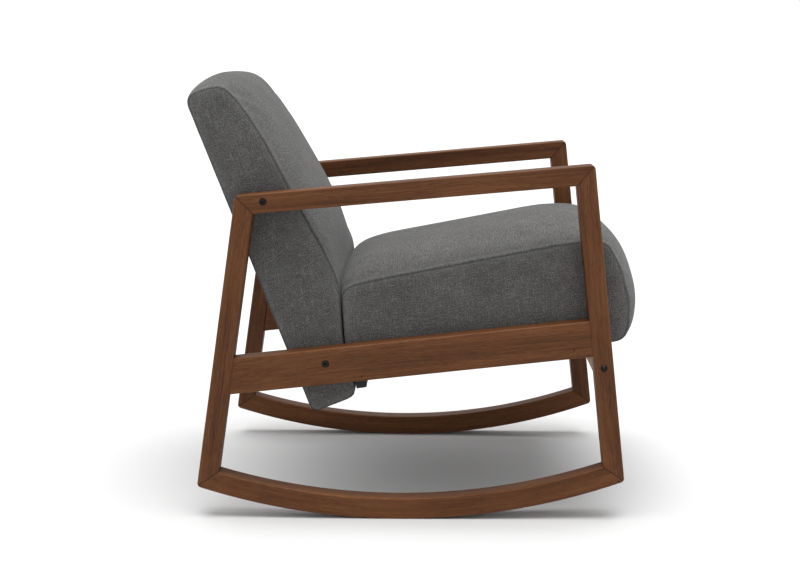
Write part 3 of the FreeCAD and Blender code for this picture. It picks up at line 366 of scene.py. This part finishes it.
class Cushion:
    """A covered cushion.  Its outline in the side plane is carried from one side to the other
    and pushed outwards by its fullness times (1 - |y / half|^p)^(1/q), so it is fullest over
    the middle and pulled in at its two side seams.  Each side panel is the outline drawn in
    ring by ring to its middle, and stands a little proud of the seam.  place = (x, z, tilt)
    puts the side plane in the chair."""

    def __init__(self, name, corners, place, shape, step):
        outline, full = rounded_outline(corners, step)
        outline = smoothed(outline, 1)
        full = smoothed(full, 4)
        n = len(outline)
        tangent = unit_rows(np.roll(outline, -1, 0) - np.roll(outline, 1, 0))
        normal = unit_rows(smoothed(np.stack([-tangent[:, 1], tangent[:, 0]], 1), 3))
        lengths = np.linalg.norm(np.roll(outline, -1, 0) - outline, axis=1)
        run = np.r_[0, np.cumsum(lengths)]
        drawn_in = SEAM_DRAW * np.clip(full / FULL_SEAM, 0, 1)
        half = HALF_CUSHION - drawn_in

        inner = HALF_CUSHION - EDGE[-1]
        between = np.linspace(-inner, inner, int(round(2 * inner / step)) + 1)[1:-1]
        share = np.r_[-HALF_CUSHION + EDGE, between, HALF_CUSHION - EDGE[::-1]] / HALF_CUSHION
        weight = np.clip(1 - np.abs(share) ** shape[0], 0, 1) ** (1 / shape[1])
        out = full[None, :] * weight[:, None]
        band = np.stack([outline[:, 0] + normal[:, 0] * out,
                         share[:, None] * half[None, :],
                         outline[:, 1] + normal[:, 1] * out], 2)
        rows = len(share)
        distance = [np.repeat((1 - np.abs(share)) * HALF_CUSHION, n)]

        # side panels
        middle = outline.mean(0)
        depth = EDGE[1:4]
        offset = outline[None] - normal[None] * depth[:, None, None]
        shrunk = offset[-1][None] + (middle - offset[-1])[None] * PANEL_SHARES[:, None, None]
        rings = np.concatenate([offset, shrunk])
        gap = np.linalg.norm(rings - outline[None], axis=2)
        rise = half[None] + drawn_in[None] * (1 - np.exp(-gap / 0.005))
        points = [band.reshape(-1, 3)]
        faces = [grid_faces(rows, n)]
        count = rows * n
        fans = []
        for side, rim in ((-1, 0), (1, (rows - 1) * n)):
            panel = np.stack([rings[..., 0], side * rise, rings[..., 1]], 2)
            k = np.arange(n)
            first = np.stack([rim + k, rim + (k + 1) % n, count + (k + 1) % n, count + k], 1)
            faces += [first, grid_faces(len(rings), n, count)]
            last = count + (len(rings) - 1) * n
            pole = count + len(rings) * n
            fans.append(np.stack([last + k, last + (k + 1) % n, np.full(n, pole)], 1))
            points += [panel.reshape(-1, 3), [[middle[0], side * HALF_CUSHION, middle[1]]]]
            distance += [gap.ravel(), [0.1]]
            count = pole + 1
        self.local = np.vstack(points)
        self.distance = np.concatenate(distance)
        self.full = np.concatenate([np.tile(full, rows)] + 2 * [np.tile(full, len(rings)), [0]])
        self.run = np.concatenate([np.tile(run[:-1], rows)]
                                  + 2 * [np.tile(run[:-1], len(rings)), [0]])
        self.on_band = np.arange(len(self.local)) < rows * n
        self.outward = np.concatenate([
            np.tile(np.stack([normal[:, 0], 0 * full, normal[:, 1]], 1), (rows, 1))]
            + [np.tile([0.0, side, 0.0], (len(rings) * n + 1, 1)) for side in (-1, 1)])
        self.place = place
        self.quads, self.fans = np.vstack(faces), np.vstack(fans)
        self.band_quads = len(faces[0])
        self.cover_length = run[-1]
        self.name = name

    def placed(self, local):
        """Local (along, across, up) points turned upwards by the tilt and set in the chair."""
        x, z, tilt = self.place
        c, s = math.cos(tilt), math.sin(tilt)
        return np.stack([x + local[:, 0] * c - local[:, 2] * s, local[:, 1],
                         z + local[:, 0] * s + local[:, 2] * c], 1)

    def build(self, local):
        """The mesh of these local points, with a UV map in metres: across and along the cover
        on the band, and the side plane's own coordinates on the panels."""
        points = self.placed(local)
        polygons = self.quads.tolist() + self.fans.tolist()
        mesh = bpy.data.meshes.new(self.name)
        mesh.from_pydata(points.tolist(), [], polygons)
        corner = np.zeros(len(mesh.loops), np.int64)
        mesh.loops.foreach_get("vertex_index", corner)
        uv = np.stack([local[corner, 0], local[corner, 2]], 1)
        band = self.band_quads * 4
        uv[:band, 0] = local[corner[:band], 1]
        uv[:band, 1] = self.run[corner[:band]]
        along = uv[:band, 1].reshape(-1, 4)
        half_way = self.cover_length / 2
        wraps = np.ptp(along, axis=1) > half_way
        uv[:band, 1] += ((wraps[:, None] & (along < half_way)) * self.cover_length).ravel()
        layer = mesh.uv_layers.new(name="cloth")
        layer.data.foreach_set("uv", uv.astype(np.float32).ravel())
        # The 'seam' attribute carries the painted seam shade and painted highlight into the linen
        # material.
        seam = mesh.attributes.new("seam", "FLOAT", "POINT")
        seam.data.foreach_set("value", np.exp(-self.distance / SEAM_FADE).astype(np.float32))
        mesh.polygons.foreach_set("use_smooth", np.ones(len(mesh.polygons), bool))
        mesh.validate()
        mesh.update()
        piece = bpy.data.objects.new(self.name, mesh)
        bpy.context.scene.collection.objects.link(piece)
        return piece

    def sewn(self, local):
        """Points near a seam: drawn inwards by the stitches within 2 mm, rolled outwards at
        5 mm, and gathered in small uneven puckers that die away over 30 mm."""
        soft = np.clip(self.full / FULL_SEAM, 0, 1)
        pull = -0.0010 * np.exp(-(self.distance / 0.0016) ** 2)
        roll = 0.0006 * np.exp(-((self.distance - 0.0052) / 0.003) ** 2)
        fade = np.exp(-self.distance / 0.011) * (1 - np.exp(-self.distance / 0.002))
        pucker = 0.0007 * fade * waver(self.run, 3 * self.outward[:, 1])
        return local + self.outward * (soft * (pull + roll + pucker))[:, None]


def pressed(cushion, held, pressure, cap):
    """Cloth simulation: the cover is blown out by pressure for 20 frames with its held points
    fixed, and no point ends further than cap from where it was cut."""
    piece = cushion.build(cushion.local)
    group = piece.vertex_groups.new(name="held")
    group.add(np.nonzero(held)[0].tolist(), 1.0, "REPLACE")
    cloth = piece.modifiers.new("cloth", "CLOTH")
    settings = cloth.settings
    settings.quality = 6
    settings.mass = 0.25
    settings.tension_stiffness = settings.compression_stiffness = 22
    settings.shear_stiffness = 12
    settings.bending_stiffness = 1.5
    settings.use_pressure = True
    settings.uniform_pressure_force = pressure
    settings.vertex_group_mass = "held"
    settings.effector_weights.gravity = 0
    cloth.collision_settings.use_collision = False
    cloth.point_cache.frame_start, cloth.point_cache.frame_end = 1, 20
    scene = bpy.context.scene
    for moment in range(1, 21):
        scene.frame_set(moment)
    seen = piece.evaluated_get(bpy.context.evaluated_depsgraph_get())
    after = np.zeros(len(piece.data.vertices) * 3, np.float32)
    seen.data.vertices.foreach_get("co", after)
    before = cushion.placed(cushion.local)
    moved = after.reshape(-1, 3) - before
    scene.frame_set(1)
    bpy.data.objects.remove(piece)
    length = np.linalg.norm(moved, axis=1)
    moved *= (cap * np.tanh(length / cap) / np.maximum(length, 1e-9))[:, None]
    x, z, tilt = cushion.place
    c, s = math.cos(tilt), math.sin(tilt)
    return cushion.local + np.stack([moved[:, 0] * c + moved[:, 2] * s, moved[:, 1],
                                     moved[:, 2] * c - moved[:, 0] * s], 1)


def finished(piece, material, replaced):
    """A cushion with its material, one level of smoothing, and its place in the table."""
    piece.data.materials.append(material)
    smooth = piece.modifiers.new("smooth", "SUBSURF")
    smooth.levels = smooth.render_levels = 1
    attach(piece, "root")
    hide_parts(*replaced)


# Corners: along, up, radius, fullness over the seam, from the lower rear corner.
SEAT_CORNERS = [
    (0.000, -0.0002, 0.006, 0.0),
    (-0.0076, 0.068, 0.060, 0.001),
    (-0.0032, 0.116, 0.080, 0.002),
    (0.0015, 0.1625, 0.014, 0.014),
    (0.0276, 0.1682, 0.0, 0.027),
    (0.0755, 0.1715, 0.0, 0.0305),
    (0.3852, 0.1849, 0.0, 0.0290),
    (0.4352, 0.1843, 0.100, 0.0250),
    (0.4766, 0.1769, 0.018, 0.0205),
    (0.4935, 0.1260, 0.060, 0.0285),
    (0.4994, 0.0632, 0.060, 0.0325),
    (0.4916, 0.0209, 0.030, 0.030),
    (0.4803, -0.0002, 0.012, 0.011),
    (0.464, -0.0002, 0.0, 0.0),
    (0.452, -0.0002, 0.0, -0.0018),
    (0.012, -0.0002, 0.0, -0.0018),
]
BACK_CORNERS = [
    (0.000, 0.0005, 0.008, 0.001),
    (0.000, 0.120, 0.0, 0.005),
    (0.000, 0.520, 0.0, 0.004),
    (0.001, 0.6025, 0.014, 0.0145),
    (0.036, 0.6015, 0.0, 0.024),
    (0.068, 0.5965, 0.018, 0.0205),
    (0.0815, 0.568, 0.030, 0.0185),
    (0.090, 0.535, 0.0, 0.0195),
    (0.099, 0.495, 0.0, 0.0215),
    (0.106, 0.435, 0.0, 0.025),
    (0.110, 0.390, 0.0, 0.029),
    (0.1205, 0.305, 0.0, 0.0285),
    (0.1257, 0.268, 0.100, 0.0195),
    (0.1287, 0.235, 0.0, 0.0075),
    (0.1305, 0.207, 0.0, 0.003),
    (0.1284, 0.196, 0.012, 0.001),
    (0.112, 0.1447, 0.060, 0.001),
    (0.0974, 0.098, 0.060, 0.001),
    (0.086, 0.003, 0.010, 0.001),
    (0.070, 0.0005, 0.0, 0.001),
]
SEAT_PLACE = (-0.0802, 0.2454, math.radians(8.6))
BACK_PLACE = (-0.156, 0.184, math.radians(21.3))

linen_cloth = linen("grey_linen")
for name, corners, place, shape, nodes_replaced in (
        ("seat_cushion", SEAT_CORNERS, SEAT_PLACE, (2.3, 1.55), ("seat_cover", "seat_foam")),
        ("back_cushion", BACK_CORNERS, BACK_PLACE, (2.3, 1.55), ("back_cover", "back_foam"))):
    made = Cushion(name, corners, place, shape, 0.0085)
    local = made.local
    held = (made.distance < 0.002) | (made.full < 0.008) | ~made.on_band
    local = pressed(made, held, 4.0, 0.004)
    finished(made.build(made.sewn(local)), linen_cloth, nodes_replaced)

# ---------------------------------------------------------------- timber and metal

ARM_SLOPE = math.radians(5.0)
RAIL_SLOPE = math.radians(6.25)
REAR_RAKE = math.radians(8.3)
FRONT_RAKE = math.radians(6.3)
ROLLING_CENTRE = 1.160       # height of the rockers' centre
KNOTS = {"seat_rail_right": [(0.305, -0.3205, 0.307), (-0.066, -0.3205, 0.259)],
         "rocker_right": [(0.387, -0.3225, 0.071)]}


def shared_plane(a, b):
    """Where two members meet: the mean and the normal of the points that both have."""
    rows = []
    for node in (a, b):
        mesh = nodes[node].data
        flat = np.zeros(len(mesh.vertices) * 3, np.float32)
        mesh.vertices.foreach_get("co", flat)
        rows.append(np.unique(np.round(flat.reshape(-1, 3) * 5000).astype(int), axis=0))
    both, times = np.unique(np.vstack(rows), axis=0, return_counts=True)
    shared = both[times > 1] / 5000
    middle = shared.mean(0)
    normal = np.linalg.svd(shared - middle)[2][-1]
    return tuple(middle.tolist()), tuple(normal.tolist())


for word, shift in (("right", 0.0), ("left", 3.7)):
    corners = {(leg, part): shared_plane(leg + "_leg_" + word, part + "_" + word)
               for leg in ("rear", "front") for part in ("arm_rest", "rocker")}
    members = (
        ("arm_rest_", straight_grain(ARM_SLOPE), 0.11,
         (corners["rear", "arm_rest"], corners["front", "arm_rest"])),
        ("rocker_", bent_grain(ROLLING_CENTRE), 0.93,
         (corners["rear", "rocker"], corners["front", "rocker"])),
        ("rear_leg_", straight_grain(math.pi / 2 - REAR_RAKE), 1.71,
         (corners["rear", "arm_rest"], corners["rear", "rocker"])),
        ("front_leg_", straight_grain(math.pi / 2 + FRONT_RAKE), 2.57,
         (corners["front", "arm_rest"], corners["front", "rocker"])),
        ("seat_rail_", straight_grain(RAIL_SLOPE), 3.3, ()),
    )
    for part, grain, offset, joints in members:
        knots = KNOTS.get(part + word, ())
        dress(part + word, wood("walnut_" + part + word, grain, offset=offset + shift,
                                joints=joints, knots=knots, **WALNUT))
dress("front_cross_rail", wood("walnut_cross_rail", cross_grain, gloss=0.65, coat=0.0, offset=5.1,
                               bare=PINE, **WALNUT))

bare_wood = wood("bare_pine", cross_grain, gloss=0.7, coat=0.0, **PINE)
for node in ("seat_side_board_right", "seat_side_board_left",
             "seat_rear_board", "seat_front_board", "seat_corner_blocks", "back_stile_right",
             "back_stile_left", "back_bottom_rail", "back_middle_rail", "back_top_rail",
             "mitre_dowels", "rail_dowels"):
    dress(node, bare_wood)


def fibreboard():
    """Pressed wood fibre: a fine even mottle of browns with a matt skin."""
    s = Shader("fibreboard")
    grain = s.noise(s.space(), 900, 3, 0.6)
    patch = s.noise(s.space(), 60, 3, 0.5)
    colour = s.ramp(s.math("ADD", s.math("MULTIPLY", grain, 0.7), s.math("MULTIPLY", patch, 0.3)),
                    [(0.35, (0.20, 0.13, 0.075)), (0.65, (0.37, 0.26, 0.16))])
    s.set("Base Color", colour)
    s.set("Roughness", 0.8)
    s.set("Normal", s.bump(grain, 0.3, 0.0003))
    return s.material


def lining():
    """Black non-woven dust cloth: short matted fibres and a grid of bonded dots."""
    s = Shader("black_dust_cloth")
    fibres = s.noise(s.space(), 700, 4, 0.7)
    cloud = s.noise(s.space(), 45, 3, 0.5)
    colour = s.ramp(s.math("ADD", s.math("MULTIPLY", fibres, 0.7), s.math("MULTIPLY", cloud, 0.3)),
                    [(0.3, (0.008, 0.008, 0.009)), (0.7, (0.032, 0.032, 0.034))])
    s.set("Base Color", colour)
    s.set("Roughness", 0.9)
    s.set("Normal", s.bump(fibres, 0.5, 0.0004))
    return s.material


def steel(name, colour, roughness, wear):
    """Turned or drawn steel: a fine brushed noise, and paler metal where it is rubbed."""
    s = Shader(name)
    scratch = s.noise(s.mapped(s.space(), scale=(300, 300, 2600)), 1.0, 3, 0.6)
    rubbed = s.noise(s.space(), 420, 3, 0.6)
    shade = s.mix(s.ramp(rubbed, [(0.5, 0.0), (0.8, 0.5)]), colour, wear)
    s.set("Base Color", shade)
    s.set("Metallic", 1.0)
    s.set("Roughness", s.math("ADD", roughness - 0.08, s.math("MULTIPLY", scratch, 0.16)))
    s.set("Normal", s.bump(scratch, 0.12, 0.0001))
    return s.material


dress("back_lining_board", fibreboard())
cloth_lining = lining()
for node in ("dust_cover", "seat_rear_batten"):
    dress(node, cloth_lining)
black = steel("blackened_steel", (0.018, 0.018, 0.019), 0.42, (0.10, 0.10, 0.10))
zinc = steel("zinc_plate", (0.58, 0.59, 0.60), 0.35, (0.75, 0.75, 0.74))
wire = steel("spring_wire", (0.30, 0.30, 0.31), 0.38, (0.50, 0.50, 0.50))
for node in ("arm_bolts", "rail_bolts", "leg_bolts", "washers"):
    dress(node, black)
for node in ("threaded_inserts", "seat_screws", "batten_screws"):
    dress(node, zinc)
for node in ("seat_springs", "seat_spring_clips", "back_springs", "back_spring_clips"):
    dress(node, wire)

# ---------------------------------------------------------------- floor, light and camera


def floor():
    """A wide plain pale floor: one flat disc of 64 sides."""
    angle = np.linspace(0, 2 * math.pi, 64, endpoint=False)
    points = np.stack([60 * np.cos(angle), 60 * np.sin(angle), 0 * angle], 1)
    mesh = bpy.data.meshes.new("floor")
    mesh.from_pydata(points.tolist(), [], [list(range(64))])
    piece = bpy.data.objects.new("floor", mesh)
    bpy.context.scene.collection.objects.link(piece)
    s = Shader("pale_floor")
    s.set("Base Color", (0.60, 0.60, 0.60, 1.0))
    s.set("Roughness", 0.95)
    s.set("Specular IOR Level", 0.0)
    mesh.materials.append(s.material)


def soft_light(name, way, spread, strength):
    """Even light from one side of the studio, shining along way, spread over that angle."""
    lamp = bpy.data.lights.new(name, "SUN")
    lamp.angle = math.radians(spread)
    lamp.energy = strength
    piece = bpy.data.objects.new(name, lamp)
    bpy.context.scene.collection.objects.link(piece)
    level = math.hypot(way[0], way[1])
    piece.rotation_euler = (math.atan2(level, -way[2]), 0, math.atan2(way[1], way[0]) - math.pi / 2)


def studio():
    """Soft light from all round: white at the horizon, dimmer just above it, whiter again
    overhead, and a little stronger from behind the chair than from its front."""
    world = bpy.data.worlds.new("studio")
    world.use_nodes = True
    sky = world.node_tree
    background = sky.nodes["Background"].inputs
    way = sky.nodes.new("ShaderNodeSeparateXYZ")
    sky.links.new(sky.nodes.new("ShaderNodeTexCoord").outputs["Generated"], way.inputs[0])
    glow = sky.nodes.new("ShaderNodeValToRGB")
    sky.links.new(way.outputs["Z"], glow.inputs[0])
    elements = glow.color_ramp.elements
    stops = ((0.04, 1.0), (0.08, 0.59), (0.5, 0.80), (1.0, 0.94))
    while len(elements) < len(stops):
        elements.new(0.5)
    for element, (height, level) in zip(elements, stops):
        element.position = height
        element.color = (level, level, level, 1.0)
    sky.links.new(glow.outputs[0], background["Color"])
    lean = sky.nodes.new("ShaderNodeMath")
    lean.operation = "MULTIPLY_ADD"
    sky.links.new(way.outputs["X"], lean.inputs[0])
    lean.inputs[1].default_value, lean.inputs[2].default_value = -0.36, 1.10
    sky.links.new(lean.outputs[0], background["Strength"])
    bpy.context.scene.world = world


floor()
studio()
soft_light("overhead", (-0.04, 0.08, -1.0), 50, 3.3)

eye = bpy.data.cameras.new("camera")
eye.lens = 72
eye.sensor_width = 36
eye.sensor_fit = "HORIZONTAL"
eye.clip_end = 200
camera = bpy.data.objects.new("camera", eye)
bpy.context.scene.collection.objects.link(camera)
camera.location = (0.0529, -3.0686, 0.8596)
camera.rotation_euler = (math.radians(90 - 9.074), 0, math.radians(1.082))
bpy.context.scene.camera = camera
bpy.context.scene.view_settings.view_transform = "Standard"
